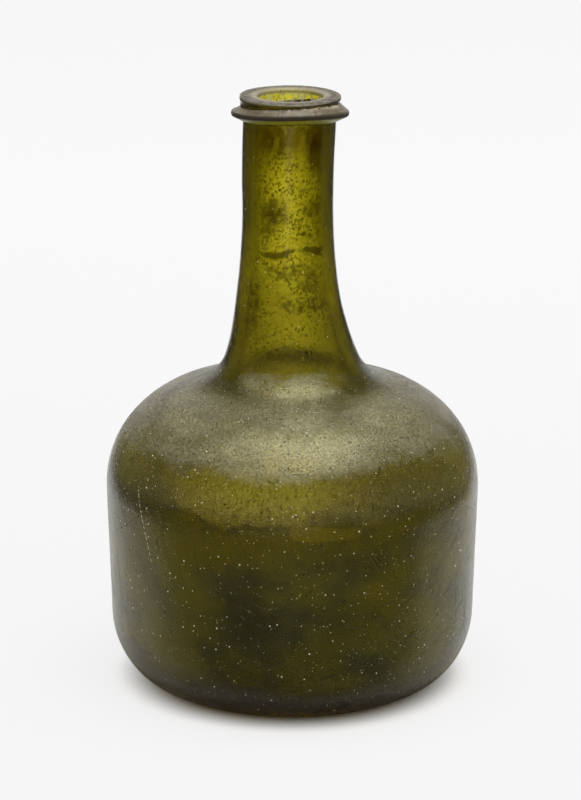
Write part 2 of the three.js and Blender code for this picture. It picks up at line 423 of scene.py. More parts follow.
def ellipse_arc(centre, reach, start, end, steps):
    """Points of an upright ellipse between two angles from its top, in degrees."""
    turns = [math.radians(start + (end - start) * i / steps) for i in range(steps + 1)]
    return [
        Vector((centre[0] + reach[0] * math.sin(a), centre[1] + reach[1] * math.cos(a)))
        for a in turns
    ]


def bezier(a, b, c, d, steps):
    """Points of a smooth curve with two pulling points."""
    points = []
    for i in range(steps + 1):
        t = i / steps
        s = 1 - t
        points.append(a * s**3 + b * (3 * s * s * t) + c * (3 * s * t * t) + d * t**3)
    return points


def sweep(start, start_way, end, end_way, pulls, steps):
    """A smooth curve that leaves one point and reaches another along given directions."""
    first, last = (pull * (end - start).length for pull in pulls)
    return bezier(start, start + start_way * first, end - end_way * last, end, steps)


def body_curve(v, wall):
    """Heel, side, shoulder and neck up to the waist, set in from the outside by its walls."""
    ring = v.ring / 2
    side_z = v.heel + v.side
    top_z = side_z + v.shoulder
    reach = (v.side_foot / 2 - wall["side"] - ring, v.heel - wall["base"])
    heel = ellipse_arc((ring, v.heel), reach, 180, 90, 18)
    centre = (v.body / 2 - v.shoulder_depth, side_z)
    reach = (v.shoulder_depth - wall["side"], v.shoulder - wall["shoulder"])
    end = math.degrees(math.atan(math.tan(SHOULDER_END_SLOPE) * reach[0] / reach[1]))
    shoulder = ellipse_arc(centre, reach, 90, end, 26)
    shoulder_way = Vector((-math.cos(SHOULDER_END_SLOPE), math.sin(SHOULDER_END_SLOPE)))
    inwards, up = math.cos(ROOT_SLANT), math.sin(ROOT_SLANT)
    root_way = Vector((-up, inwards))
    root = Vector((v.root / 2 - wall["root"] * inwards, top_z + v.root_rise - wall["root"] * up))
    flare = sweep(shoulder[-1], shoulder_way, root, root_way, (0.23, 0.4), 14)
    waist = Vector((v.neck / 2 - wall["neck"], VESSEL_TOP - v.waist_drop))
    neck = sweep(root, root_way, waist, Vector((0, 1)), (0.255, 0.35), 26)
    return heel + shoulder + flare[1:] + neck[1:]


def kick_curve(v, foot_z, crown_z):
    """The bell of the kick, from its foot to its crown on the axis."""
    foot = v.ring / 2 - v.ring_width
    foot_pull, crown_pull = 16 * MM, 29 * MM
    corners = (foot, foot_z), (foot - foot_pull, foot_z), (crown_pull, crown_z), (0, crown_z)
    return bezier(*map(Vector, corners), 24)


def rounded(corner, before, after, radius, steps=4):
    """A small rounding at a corner between two directions."""
    reach, pull = radius, radius * 0.45
    corners = (before * reach, before * pull, after * pull, after * reach)
    return bezier(*[corner + way for way in corners], steps)


def lip_curve(v):
    """Neck top, collar and flat lip, from outside to inside."""
    lip_under = VESSEL_TOP - v.lip_height
    up, out = Vector((0, 1)), Vector((1, 0))
    lip_top = Vector((v.lip / 2, VESSEL_TOP))
    mouth_top = Vector((v.mouth / 2, VESSEL_TOP))
    return [
        Vector((v.neck_top / 2, NECK_TOP_Z)),
        Vector((v.collar / 2, COLLAR_Z)),
        Vector((v.collar / 2, lip_under)),
        Vector((v.lip / 2 - 0.1 * MM, lip_under + 0.15 * MM)),
        Vector((v.lip / 2, lip_under + 0.45 * MM)),
        *rounded(lip_top, -up, -out, 0.55 * MM),
        *rounded(mouth_top, out, -up, 0.9 * MM, 6),
    ]


def clamped(value):
    """The value, kept between 0 and 1."""
    return min(1, max(0, value))


def read_off(rows, at):
    """A value read off a line through rows of place and value."""
    for (a, low), (b, high) in zip(rows, rows[1:]):
        if at <= b:
            return low + (high - low) * (at - a) / (b - a)
    return rows[-1][1]


def stepped(points, longest):
    """The same line, with no step longer than asked."""
    line = [points[0]]
    for a, b in zip(points, points[1:]):
        steps = max(1, math.ceil((b - a).length / longest))
        line += [a.lerp(b, i / steps) for i in range(1, steps + 1)]
    return line


def vessel_profile(v):
    """Radius, height, inside or not, and how uneven, for every point from crown to crown."""
    parts = ("side", "base", "shoulder", "root", "neck")
    outside = dict.fromkeys(parts, 0)
    inside = {part: getattr(v, part + "_wall") for part in parts}
    outer = kick_curve(v, 0, v.kick)[::-1] + body_curve(v, outside) + lip_curve(v)
    mouth = [Vector((v.mouth / 2, VESSEL_TOP - down)) for down in (1.4 * MM, v.mouth_depth)]
    inner = mouth + body_curve(v, inside)[::-1] + kick_curve(v, v.base_wall, v.kick + v.kick_wall)
    outer, inner = stepped(outer, v.step), stepped(inner, v.step)
    rows = [(p.x, p.y, 0.0, v.outer_waves) for p in outer]
    rows += [(p.x, p.y, 1.0, v.inner_waves) for p in inner]
    rows = [r for i, r in enumerate(rows) if i == 0 or math.dist(r[:2], rows[i - 1][:2]) > 1e-6]
    steady = []
    for r, z, within, waves in rows:
        on_table = 0 if z < 0.4 * MM else min(1, z / (6 * MM))
        at_lip = clamped((VESSEL_TOP - 3 * MM - z) / (12 * MM))
        on_axis = min(1, r / (5 * MM))
        in_neck = 1 - 0.6 * within * clamped((z - 105 * MM) / (20 * MM))
        steady.append((max(r, 0), z, within, waves * on_table * at_lip * on_axis * in_neck))
    return steady


def profile_object(rows):
    """The profile as a line of edges that carries its two values."""
    edges = [(i, i + 1) for i in range(len(rows) - 1)]
    made = mesh_object("Profile", [(r, 0, z) for r, z, _, _ in rows], edges)
    for label, column in (("inside", 2), ("waves", 3)):
        carry(made, label, [row[column] for row in rows])
    return made


def turning_tree():
    """Turns a profile round +Z, bends the neck and makes the walls as uneven as blown glass."""
    sizes = dict.fromkeys(("Lean", "Lip return", "Neck foot", "Lip height", "Lip wave"), "Float")
    sizes.update({"Segments": "Int", "Seed": "Int", "Glass": "Material"})
    w = GeometryWires("Turned glass", sizes)
    given, top = w.given, w.given["Lip height"]
    kind, inputs = "GeometryNodeAttributeDomainSize", {0: given["Geometry"]}
    points = w.get(kind, inputs, "Point Count", component="MESH")
    rounds = w.plus(given["Segments"], 1)
    inputs = {"Size X": 1, "Size Y": 1, "Vertices X": points, "Vertices Y": rounds}
    grid = w.get("GeometryNodeMeshGrid", inputs)
    along, turned, _ = w.split(w.here())
    row = w.calc("ROUND", w.times(w.plus(along, 0.5), w.minus(points, 1)))
    turn = w.times(w.plus(turned, 0.5), 2 * math.pi)

    def along_profile(value, kind):
        inputs = {"Geometry": given["Geometry"], "Value": value, "Index": row}
        return w.get("GeometryNodeSampleIndex", inputs, data_type=kind, domain="POINT")

    radius, _, height = w.split(along_profile(w.here(), "FLOAT_VECTOR"))

    lobes = w.calc("SINE", w.line(turn, 2, math.radians(34)))
    ripple = w.times(w.calc("SINE", w.times(turn, 5)), 0.5)
    sine, cosine = w.calc("SINE", turn), w.calc("COSINE", turn)
    nibble = w.times(w.minus(w.noise(w.join(sine, cosine), 4.5, 4, 0.7), 0.5), 3.2)
    at_lip = w.ease(height, w.minus(top, 3.1 * MM), top)
    lip_wave = w.times(at_lip, given["Lip wave"], w.plus(lobes, w.plus(ripple, nibble)))
    wide = w.plus(radius, lip_wave)
    spot = w.join(w.times(wide, sine), w.times(wide, w.times(cosine, -1)), height)

    for label in ("inside", "waves"):
        value = along_profile(w.carried(label), "FLOAT")
        inputs = {"Geometry": grid, "Name": label, "Value": value}
        grid = w.get("GeometryNodeStoreNamedAttribute", inputs, data_type="FLOAT", domain="POINT")
    inputs = {"Geometry": w.moved(grid, Position=spot), "Distance": WELD}
    closed = w.get("GeometryNodeMergeByDistance", inputs)

    apart = w.vector("MULTIPLY_ADD", w.join(z=w.carried("inside")), (0, 0, 3.7), w.here())
    sample = w.vector("ADD", apart, w.join(given["Seed"], given["Seed"]))
    broad, fine = (w.minus(w.noise(sample, scale, 1), 0.5) for scale in (34, 150))
    out = w.times(w.line(fine, 0.16, broad), 2.6, w.carried("waves"))
    push = w.get("ShaderNodeVectorMath", {0: w.normal(), 3: out}, operation="SCALE")
    uneven = w.moved(closed, Offset=push)

    foot = given["Neck foot"]
    up = w.calc("DIVIDE", w.minus(w.split(w.here())[2], foot), w.minus(top, foot))
    leaning = w.times(w.ease(up, 0, LEAN_DONE), given["Lean"])
    back = w.times(w.ease(up, RETURN_START, 1), given["Lip return"])
    bent = w.moved(uneven, Offset=w.join(w.minus(back, leaning)))
    smooth = w.get("GeometryNodeSetShadeSmooth", {0: bent})
    return w.dressed(w.get("GeometryNodeRealizeInstances", {0: smooth}), "Glass")


# Materials


class SurfaceWires(Wires):
    """A material with one surface shader, and patterns that are fixed to the bottle."""

    def __init__(self, name):
        self.made = bpy.data.materials.new(name)
        self.made.use_nodes = True
        super().__init__(self.made.node_tree)
        self.tree.nodes.clear()
        self.surface = self.put("ShaderNodeBsdfPrincipled")
        self.output = self.put("ShaderNodeOutputMaterial", {"Surface": self.surface.outputs[0]})

    @cached_property
    def place(self):
        """Where a point lies on the bottle."""
        return self.get("ShaderNodeTexCoord", output="Object")

    @cached_property
    def axes(self):
        """The three measures of that place."""
        return self.split(self.place)

    @cached_property
    def front(self):
        """1 on the bottle's front and 0 behind."""
        return self.calc("LESS_THAN", self.axes[1], 0)

    def attribute(self, name):
        """A value that the piece's points carry."""
        return self.get("ShaderNodeAttribute", attribute_name=name, output="Fac")

    def fill_with_glass(self, look):
        """The colour of the glass in its depth, which stays a plain number for every use of it."""
        inputs = {"Color": (*look.absorbed, 1), "Density": look.density}
        depth = self.get("ShaderNodeVolumeAbsorption", inputs)
        self.fill(self.output.inputs["Volume"], depth)
        self.surface.inputs["IOR"].default_value = GLASS_IOR

    def dress(self, inputs):
        """Fills the surface shader's inputs and gives the material."""
        for name, value in inputs.items():
            self.fill(self.surface.inputs[name], value)
        return self.made

    def mottle(self, scale, detail=2, stretch=(1, 1, 1), roughness=0.5):
        """A cloudy pattern fixed to the bottle."""
        return self.noise(self.vector("MULTIPLY", self.place, stretch), scale, detail, roughness)

    def blend(self, amount, first, second):
        """Two colours mixed by an amount."""
        node = self.put("ShaderNodeMix", {0: amount}, data_type="RGBA")
        for socket, value in ((node.inputs[6], first), (node.inputs[7], second)):
            self.fill(socket, value if isinstance(value, bpy.types.NodeSocket) else (*value, 1))
        return node.outputs[2]

    def ramp(self, amount, stops):
        """A share read off a row of stops between 0 and 1."""
        node = self.put("ShaderNodeValToRGB", {0: amount})
        band = node.color_ramp.elements
        for at in list(stops)[1:-1]:
            band.new(at)
        for element, value in zip(band, stops.values()):
            element.color = (value, value, value, 1)
        return node.outputs[0]

    def by_height(self, label):
        """A share read off a row of heights."""
        rows = {at / HEIGHTS_END: value for at, value in HEIGHTS[label].items()}
        return self.ramp(self.calc("DIVIDE", self.axes[2], HEIGHTS_END * MM), rows)

    def by_width(self, stops):
        """A share read off a row of places left and right of the axis."""
        rows = {(at + WIDTHS_END) / (2 * WIDTHS_END): value for at, value in stops.items()}
        return self.ramp(self.line(self.axes[0], 0.5 / (WIDTHS_END * MM), 0.5), rows)

    def specks(self, scale, size, rarity, stretch=(1, 1, 1)):
        """Small round dots: one in every few cells of a grid, each of its own size."""
        inputs = {"Vector": self.vector("MULTIPLY", self.place, stretch), "Scale": scale}
        cells = self.put("ShaderNodeTexVoronoi", inputs, feature="F1").outputs
        chance = self.put("ShaderNodeSeparateColor", {0: cells["Color"]}).outputs
        reach = self.times(self.calc("GREATER_THAN", chance[0], rarity), chance[1], size)
        return self.ease(cells["Distance"], self.plus(reach, 0.001), self.times(reach, 0.5))

    def patch(self, warp, centre, reach, fade=(1.15, 0.7)):
        """A soft patch about a point, with a ragged edge; the sizes are in millimetres."""
        from_centre = self.vector("SUBTRACT", self.place, tuple(c * MM for c in centre))
        scaled = self.vector("DIVIDE", from_centre, tuple(r * MM for r in reach))
        ragged = self.line(self.minus(warp, 0.5), 1.6, self.vector("LENGTH", scaled))
        return self.ease(ragged, *fade)

    def patches(self, warp, places, *fade):
        """Several patches in one."""
        return self.most(*[self.patch(warp, *where, *fade) for where in places])

    def relief(self, height, distance):
        """Small bumps in the surface."""
        inputs = {"Height": height, "Distance": distance, "Strength": 0.6}
        return self.get("ShaderNodeBump", inputs)


# What time left on the glass: heights and places in millimetres


HEIGHTS_END = 210
HEIGHTS = {
    # How far the inside is darkened at each height: most low in the body.
    "darker low in the body": {
        0: 0.9, 64: 0.88, 76: 0.88, 88: 0.74, 96: 0.58, 104: 0.4, 112: 0.32,
        125: 0.5, 140: 0.45, 152: 0.08, 210: 0.03,
    },
    "neck": {0: 0, 112: 0, 124: 1, 206: 1, 210: 0},
    "under the rim": {0: 0, 183: 0, 190: 0.55, 195: 1, 201: 1, 203: 0, 210: 0},
    "crumbs inside": {
        0: 0, 66: 0, 74: 0.8, 92: 0.8, 104: 0.35, 112: 0.4, 124: 0.6, 150: 0.32,
        200: 0.32, 208.5: 0.8, 210: 0,
    },
    "crumbs outside": {0: 0, 66: 0, 74: 0.8, 92: 0.8, 104: 0.35, 112: 0.3, 124: 0, 210: 0},
    # The skin thins towards the heel, which renders the heel darker: painted shade.
    "skin": {
        0: 0.1, 9: 0.18, 18: 0.8, 26: 1, 50: 1, 66: 0.92, 74: 0.64, 80: 0.3, 88: 0.13,
        98: 0.14, 112: 0.1, 125: 0.05, 205: 0.05, 210: 0,
    },
    "film": {
        0: 0, 80: 0, 86: 0.02, 91: 0.15, 95: 0.42, 99: 0.55, 104: 0.6, 108: 0.85, 112: 0.9,
        115.5: 0.4, 117.5: 0, 210: 0,
    },
    "lip": {0: 0, 209.25: 0, 209.75: 1, 210: 1},
    "dust in the mouth": {0: 0, 196: 0, 203: 0.45, 208: 0.65, 209.3: 0.6, 210: 0},
    # collar: painted shade in the groove under the lip.
    "collar": {0: 0, 205.5: 0, 206.6: 0.95, 208.6: 0.95, 209.2: 0.4, 210: 0},
    # How strong the painted shade on the edges is at each height; flare: the same on the neck's
    # lower flare.
    "painted edge shade": {0: 0.25, 90: 0.25, 112: 0.6, 125: 0.78, 150: 0.85, 168: 1, 206: 1, 210: 0},
    "flare": {0: 0, 102: 0, 110: 0.95, 135: 0.95, 150: 0.5, 206: 0.5, 210: 0},
    "dullness": {
        0: 0.26, 68: 0.22, 80: 0.14, 88: 0.16, 96: 0.32, 112: 0.24, 126: 0.06, 200: 0.04,
        209: 0.06, 209.6: 0.4, 210: 0.4,
    },
    "fine relief": {0: 0.25, 70: 0.3, 90: 0.8, 106: 0.8, 120: 0.25, 208: 0.15, 209: 1, 210: 1},
}
WIDTHS_END = 12
TIDE_HEIGHTS = {
    -12: 0.1, -9.3: 0.15, -4: 0.2, 0: 0.65, 3.7: 0.75, 6.7: 0.5, 8.3: 0.28, 9.9: 0.8, 12: 0.8,
}
TIDE_THICKNESS = {
    -12: 0, -10.1: 0, -9: 0.45, -6.7: 0.75, -2: 0.7, -0.5: 0.35, 0.8: 0.05, 2.9: 0.05, 4: 0.5,
    6.7: 0.8, 8.4: 0.85, 9.3: 0.4, 10.3: 0, 12: 0,
}
FROM_MIDDLE_TO_EDGE = {
    0: 0, 0.1: 0.02, 0.2: 0.14, 0.32: 0.34, 0.45: 0.57, 0.58: 0.69, 0.71: 0.9, 0.84: 1, 1: 1,
}
NECK_STAINS = (
    ((-6, -10, 171), (4.5, 8, 3.6)),
    ((-3, -10, 150.5), (5.5, 8, 3.6)),
    ((3.5, -10, 138.5), (8, 8, 3.2)),
    ((6, -10, 172), (3, 8, 3)),
    ((-2, -10, 122), (4, 8, 1.8)),
    ((-7, 10, 165), (6, 8, 7)),
    ((7, 10, 142), (6, 8, 6)),
    ((-14, -8, 137), (5, 9, 13)),
)
BROWN_STAINS = (
    ((-5.6, -11, 199), (4.4, 10, 10)),
    ((-2.6, -11, 199), (1.9, 9, 7)),
    ((7, -11, 199), (4, 10, 9)),
    ((9, 6, 187), (3, 9, 9)),
    ((4.2, 11.5, 207.6), (1.9, 3, 1.7)),
)
# Lighter patches in the darkened body, with dark rims round the lower ones.
LIGHTER_PATCHES = (
    ((-19, -60, 82.5), (33, 32, 10.5)),
    ((12, -62, 71.5), (14, 20, 3)),
    ((-10, 62, 50), (48, 30, 17)),
)
# Patches on the front of the shoulder where the film is brightened into the overhead light's
# highlight: partly weathered film, partly painted highlight.
HAZE_AND_HIGHLIGHTS = (
    ((-8, -54, 97), (24, 20, 5)),
    ((16, -52, 97.5), (15, 18, 5)),
    ((2, -40, 106), (17, 14, 3.6)),
    ((38, -34, 104.5), (22, 22, 7.5)),
    ((-40, -32, 104), (13, 20, 6)),
)
# The warmer part of that painted highlight.
GOLDEN_HIGHLIGHT_PATCH = (-12, -56, 92), (26, 20, 6)
LIP_MIDDLE = -0.8 * MM


def inner_darkening(w):
    """What darkens the inside: heavily low in the body, with lighter patches and dark rims round
    some, and stains in the neck.
    """
    z = w.axes[2]
    warp = w.mottle(60, 4, roughness=0.6)
    clear = w.patches(warp, LIGHTER_PATCHES)
    patch_rims = w.times(clear, w.minus(1, clear), 4, w.ease(z, 84 * MM, 76 * MM))
    cloud = w.ease(w.mottle(30, 4), 0.3, 0.72, 0.75, 1.15)
    body = w.times(w.by_height("darker low in the body"), cloud, w.line(clear, -0.85, 1))

    grainy = w.ease(w.mottle(520, 3, roughness=0.65), 0.34, 0.62)
    spots = w.times(w.patches(warp, NECK_STAINS), w.line(grainy, 0.75, 0.25))
    trickle = w.mottle(190, 5, (1, 1, 0.3), 0.65)
    uneven = w.ease(w.mottle(420, 4, (1, 1, 0.4), 0.7), 0.36, 0.56, 0.55)
    brown = w.times(w.patches(trickle, BROWN_STAINS), uneven, w.ease(z, 204 * MM, 202 * MM))
    streaks = w.line(w.ease(w.mottle(230, 3, (1, 1, 0.13)), 0.36, 0.54), 0.45, 0.5)
    brown = w.most(brown, w.times(streaks, w.by_height("under the rim"), w.front))
    in_neck = w.by_height("neck")
    blotches = w.ease(w.mottle(120, 6, (1, 1, 0.6), 0.68), 0.5, 0.64)
    neck = w.most(w.times(blotches, in_neck, 0.16), spots, brown)

    dotted = w.ease(w.mottle(85, 3), 0.4, 0.5, 0.4)
    dots = w.times(w.specks(1300, 0.85, 0.3, (1, 1, 0.75)), dotted)
    dots = w.times(w.most(dots, w.specks(640, 0.5, 0.8)), in_neck, 0.95)
    crumbs = w.ease(w.mottle(900, 4, (1, 1, 0.45), 0.75), 0.51, 0.6)
    crumbs = w.times(crumbs, w.ease(w.mottle(110, 3, (1, 1, 0.4)), 0.36, 0.6, 0.35, 0.95))
    outer_grit = w.most(
        dots,
        w.times(crumbs, w.by_height("crumbs outside")),
        w.times(brown, in_neck, 0.75),
        w.times(spots, grainy, 0.6),
    )
    inner_grit = w.times(crumbs, w.by_height("crumbs inside"))
    return w.most(body, patch_rims, neck, inner_grit, dots), brown, outer_grit


def tide_line(w):
    """The dark broken line that a level of wine left round the front of the neck."""
    level = w.line(w.by_width(TIDE_HEIGHTS), 4 * MM, 155.6 * MM)
    shaken = w.minus(w.mottle(650, 4, roughness=0.7), 0.5)
    off = w.calc("ABSOLUTE", w.minus(w.axes[2], w.line(shaken, 1.6 * MM, level)))
    reach = w.times(w.by_width(TIDE_THICKNESS), 2.1 * MM)
    return w.times(w.ease(off, reach, w.times(reach, 0.6)), w.front)


def lip_skin(w, look):
    """Grey-brown at the lip's edge, worn to pale beige round the mouth."""
    out = w.vector("LENGTH", w.vector("SUBTRACT", w.place, (LIP_MIDDLE, 0, VESSEL_TOP)))
    rough = w.mottle(400, 6, roughness=0.72)
    edge = w.blend(w.ease(rough, 0.42, 0.58), look.lip_shade, look.lip)
    ragged = w.line(w.minus(rough, 0.5), 9 * MM, out)
    return w.blend(w.ease(ragged, 14.2 * MM, 12.8 * MM), edge, look.lip_worn)


def painted_edge_shade(w, outside):
    """Painted shade on the neck's edges: darker where the eye looks along the glass."""
    facing = w.minus(1, w.get("ShaderNodeLayerWeight", {"Blend": 0.5}, output="Facing"))
    across = w.calc("SQRT", w.minus(1, w.times(facing, facing)))
    graded = w.times(w.ramp(across, FROM_MIDDLE_TO_EDGE), w.by_height("painted edge shade"), outside)
    return w.most(graded, w.times(w.ease(across, 0.5, 0.8), w.by_height("flare"), outside))


def vessel_glass(look):
    """Dark green glass: stained in the neck, filmed on the shoulder with a painted highlight,
    skinned over on the body, its neck's edges darkened by painted shade.
    """
    w = SurfaceWires("Weathered green glass")
    w.fill_with_glass(look)
    inside = w.attribute("inside")
    outside = w.minus(1, inside)
    clouds = w.ease(w.mottle(30, 4), 0.35, 0.7)
    grain = w.ease(w.mottle(1300, 3, roughness=0.7), 0.3, 0.7)

    inner_dark, brown, grit = inner_darkening(w)
    tide = tide_line(w)
    stained = w.blend(brown, look.inner_dark, look.stain)
    shade = w.blend(w.times(w.most(inner_dark, tide), inside), look.clear, stained)
    shade = w.blend(w.times(w.most(grit, w.times(tide, 0.6)), outside, 0.9), shade, stained)

    even, fine = w.line(clouds, 0.35, 0.75), w.line(grain, 0.3, 0.85)
    skin = w.times(w.by_height("skin"), outside, even, fine)
    tone = w.ease(w.mottle(38, 5, (1, 1, 1.5), 0.62), 0.36, 0.62)
    shade = w.blend(w.ease(skin, 0.08, 0.6), shade, w.blend(tone, look.skin_dark, look.skin))

    lying = w.by_height("film")
    grainy = w.line(grain, 1.5, 0.15)
    drifts = w.ease(w.mottle(44, 6, (1, 1, 2), 0.7), 0.4, 0.6, 0.08, 1.3)
    smears = w.mottle(60, 6, (1, 1, 2), 0.7)
    # Front patches of brighter film: weathered haze with a painted highlight in it, warmer in one
    # place.
    haze_and_highlight = w.patches(smears, HAZE_AND_HIGHLIGHTS, (2, -0.3))
    film = w.most(
        w.times(lying, outside, w.line(clouds, 0.5, 0.7), drifts, grainy),
        w.times(haze_and_highlight, outside, grainy, w.line(drifts, 0.7, 0.75)),
        w.times(w.specks(900, 0.45, 0.72), lying, outside, 2.2),
    )
    golden_highlight = w.patch(smears, *GOLDEN_HIGHLIGHT_PATCH, (1.8, 0.2))
    shade = w.blend(film, shade, w.blend(golden_highlight, look.film, look.golden_highlight))

    dust = w.ease(w.mottle(420, 6, roughness=0.75), 0.46, 0.56)
    dust = w.times(w.by_height("dust in the mouth"), inside, dust)
    shade = w.blend(dust, shade, look.dust)
    # The groove under the lip is darkened on the front only: painted shade.
    shade = w.blend(w.times(w.by_height("collar"), outside, w.front), shade, look.collar)
    flat = w.vector("MULTIPLY", w.vector("ADD", w.place, (-LIP_MIDDLE, 0, 0)), (1, 1, 0))
    near_mouth = w.ease(w.vector("LENGTH", flat), 12.9 * MM, 12.3 * MM)
    high = w.ease(w.axes[2], 207.9 * MM, 208.7 * MM)
    on_lip = w.most(w.by_height("lip"), w.times(high, near_mouth, 0.85))
    shade = w.blend(on_lip, shade, lip_skin(w, look))
    pits = w.times(w.specks(800, 0.42, 0.72, (1, 1, 0.7)), outside)
    shade = w.blend(w.times(pits, 0.8), shade, look.pit)

    scattered = w.most(
        w.times(skin, look.skin_share), w.times(film, look.film_share), w.times(on_lip, 0.75), dust
    )
    worn = w.line(w.mottle(60, 4), 0.8, 0.6)
    bumps = w.plus(w.times(w.mottle(1400), w.by_height("fine relief"), outside), w.mottle(90))
    # The Base Color carries painted shade on the neck's edges seen edge-on.
    return w.dress({
        "Base Color": w.blend(painted_edge_shade(w, outside), shade, look.edge),
        "Transmission Weight": w.minus(1, scattered),
        "Roughness": w.times(w.by_height("dullness"), worn, w.line(inside, -0.6, 1)),
        "Specular Tint": (0.78, 0.74, 0.4, 1),
        "Normal": w.relief(w.minus(bumps, w.times(pits, 0.6)), 0.0005),
    })


def rim_glass(look, rim):
    """Clean glass underneath, a worn edge darkened further by painted shade, and a grey-brown skin
    on top with pale chips.
    """
    w = SurfaceWires("Weathered rim glass")
    w.fill_with_glass(look)
    upper, brink = w.attribute("upper"), w.attribute("brink")
    rough = w.mottle(260, 6, (1, 1, 2), 0.7)
    chips = w.times(w.ease(w.mottle(260, 3), 0.6, 0.66), brink, 0.8)
    to_right = w.ease(w.axes[0], 0, 9 * MM, 0.1)
    broken = w.times(brink, to_right, w.ease(rough, 0.4, 0.5))
    skin = w.blend(w.ease(rough, 0.35, 0.65), rim.shade, rim.skin)
    skin = w.blend(w.most(chips, broken), skin, rim.worn)
    # The band at the edge is darkened: partly the worn edge, partly painted shade.
    dark = w.blend(w.ease(upper, 0.5, 0.85), rim.edge, skin)
    return w.dress({
        "Base Color": w.blend(w.ease(upper, 0.1, 0.45), rim.clean, dark),
        "Transmission Weight": w.ease(upper, 0.1, 0.6, 0.8, 0.25),
        "Roughness": 0.38,
        "Specular Tint": (0.8, 0.75, 0.6, 1),
        "Normal": w.relief(w.mottle(500, 3), 0.0004),
    })


def scar_glass(look, scar):
    """Broken, rough green glass."""
    w = SurfaceWires("Rough scar glass")
    w.fill_with_glass(look)
    shade = w.blend(w.ease(w.mottle(300, 3), 0.45, 0.6), scar.broken, (0.45, 0.42, 0.30))
    return w.dress({"Base Color": shade, "Transmission Weight": 0.35, "Roughness": 0.6})


def plain_surface(name, value):
    """A dull, even surface."""
    return SurfaceWires(name).dress({"Base Color": (*value, 1), "Roughness": 0.6})


def clouded_surface(name, pattern, fade, first, second, roughness):
    """A dull surface of two colours in clouds."""
    w = SurfaceWires(name)
    shade = w.blend(w.ease(w.mottle(*pattern), *fade), first, second)
    return w.dress({"Base Color": shade, "Roughness": roughness})


def seed_surface():
    """Seeds: white where their bloom is fresh, dull where it has worn."""
    dull, white = (0.34, 0.32, 0.18), (0.92, 0.89, 0.74)
    return clouded_surface("Seed bloom", (330, 2), (0.4, 0.6), dull, white, 0.55)


def scratch_surface():
    """Scratches: bright where fresh, dark where dirt has filled them."""
    bright, dark = (0.11, 0.10, 0.06), (0.012, 0.012, 0.008)
    return clouded_surface("Scratch", (45, 1), (0.38, 0.46), bright, dark, 0.7)


# The string rim and the scar


def waist_to_collar(v, z):
    """Radius of the neck's outside near the string rim."""
    rows = [
        (VESSEL_TOP - v.waist_drop, v.neck / 2),
        (NECK_TOP_Z, v.neck_top / 2),
        (COLLAR_Z, v.collar / 2),
        (VESSEL_TOP, v.collar / 2),
    ]
    return read_off(rows, z)


def lean_at(v, z):
    """How far the neck stands off the axis at a height."""

    def smooth(x):
        x = clamped(x)
        return x * x * (3 - 2 * x)

    foot = v.heel + v.side + v.shoulder
    up = (z - foot) / (VESSEL_TOP - foot)
    back = smooth((up - RETURN_START) / (1 - RETURN_START))
    return v.lip_return * back - v.lean * smooth(up / LEAN_DONE)


OFF_THE_GLASS = 72 * MM
PALE_SCRATCHES = (((-55, 83), (-48, 56), 0),)
DARK_SCRATCHES = (
    ((8, 19), (62, 47), 4),
    ((24, 16), (70, 37), 3),
    ((28, 44), (70, 70), 4),
    ((16, 37), (63, 63), 5),
    ((36, 60), (68, 80), 3),
    ((40, 30), (72, 50), 2),
    ((30, 76), (60, 90), 2),
    ((-70, 60), (-52, 72), 1),
    ((-30, 20), (6, 33), 3),
)


def long_scratches(name, lines, glass, half_width, longest, seed):
    """Long broken scratches: from and to in degrees round and millimetres up, and their sag."""
    corners = [c.co for c in glass.vertices]
    surface = BVHTree.FromPolygons(corners, [p.vertices for p in glass.polygons])
    dice = random.Random(seed)
    points, faces = [], []

    def on_glass(line, t):
        (turn0, z0), (turn1, z1), sag = line
        turn = math.radians(turn0 + (turn1 - turn0) * t)
        z = (z0 + (z1 - z0) * t - 4 * sag * t * (1 - t)) * MM
        start = Vector((OFF_THE_GLASS * math.sin(turn), -OFF_THE_GLASS * math.cos(turn), z))
        return surface.find_nearest(start)[:2]

    steps = 8
    for line in lines:
        t = 0.0
        while t < 1:
            end = min(1, t + dice.uniform(0.25, 1) * longest)
            for i in range(steps + 1):
                spot, out = on_glass(line, t + (end - t) * i / steps)
                onward = on_glass(line, t + (end - t) * (i + 0.5) / steps)[0] - spot
                across = out.cross(onward).normalized()
                half = half_width * (0.25 + 1.5 * math.sin(math.pi * i / steps))
                points += [spot - across * half, spot + across * half, spot + out * half * 0.5]
                if i:
                    base = len(points) - 6
                    for j, k in ((0, 1), (1, 2), (2, 0)):
                        faces.append((base + j, base + k, base + 3 + k, base + 3 + j))
            first, last = len(points) - 3 * (steps + 1), len(points) - 3
            faces += [(first + 2, first + 1, first), (last, last + 1, last + 2)]
            t = end + dice.uniform(0.05, 0.5) * longest
    return turned_out(mesh_object(name, points, (), faces))


def swept_ring(name, sections, marks=None):
    """A closed ring through sections that are given round the bottle."""
    turns, sides = len(sections), len(sections[0])
    faces = []
    for i in range(turns):
        here, onward = i * sides, (i + 1) % turns * sides
        for j in range(sides):
            k = (j + 1) % sides
            faces.append((here + j, onward + j, onward + k, here + k))
    made = mesh_object(name, [p for section in sections for p in section], (), faces)
    made.data.shade_smooth()
    for label, values in (marks or {}).items():
        carry(made, label, values * turns)
    return turned_out(made)


